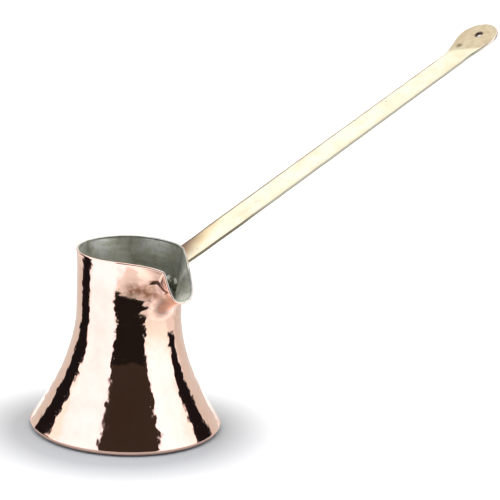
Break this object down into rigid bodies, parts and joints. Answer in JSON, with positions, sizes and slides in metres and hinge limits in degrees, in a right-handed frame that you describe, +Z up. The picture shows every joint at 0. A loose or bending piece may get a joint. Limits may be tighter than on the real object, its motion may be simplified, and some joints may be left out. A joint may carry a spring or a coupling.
{
  "type": "turkish coffee pot",
  "caption": "Bell-shaped hammered copper coffee pot with a pulled pouring beak, a tinned inside and a long flat brass handle riveted to the neck.",
  "frame": {"origin": "centre of the underside of the base, on the surface the pot stands on", "axes": "+Z up the pot, +X out along the handle; the pouring beak points close to -Y, 86 degrees from the handle"},
  "size_m": [0.272, 0.09, 0.1749],
  "materials": {
    "copper": "hammered and polished copper",
    "tin": "hand-wiped tin, dull and streaky",
    "brass": "polished pale brass"
  },
  "bodies": {
    "root": {"copper_body": "copper", "tin_lining": "tin", "handle": "brass", "rivets": "copper"}
  },
  "joints": []
}
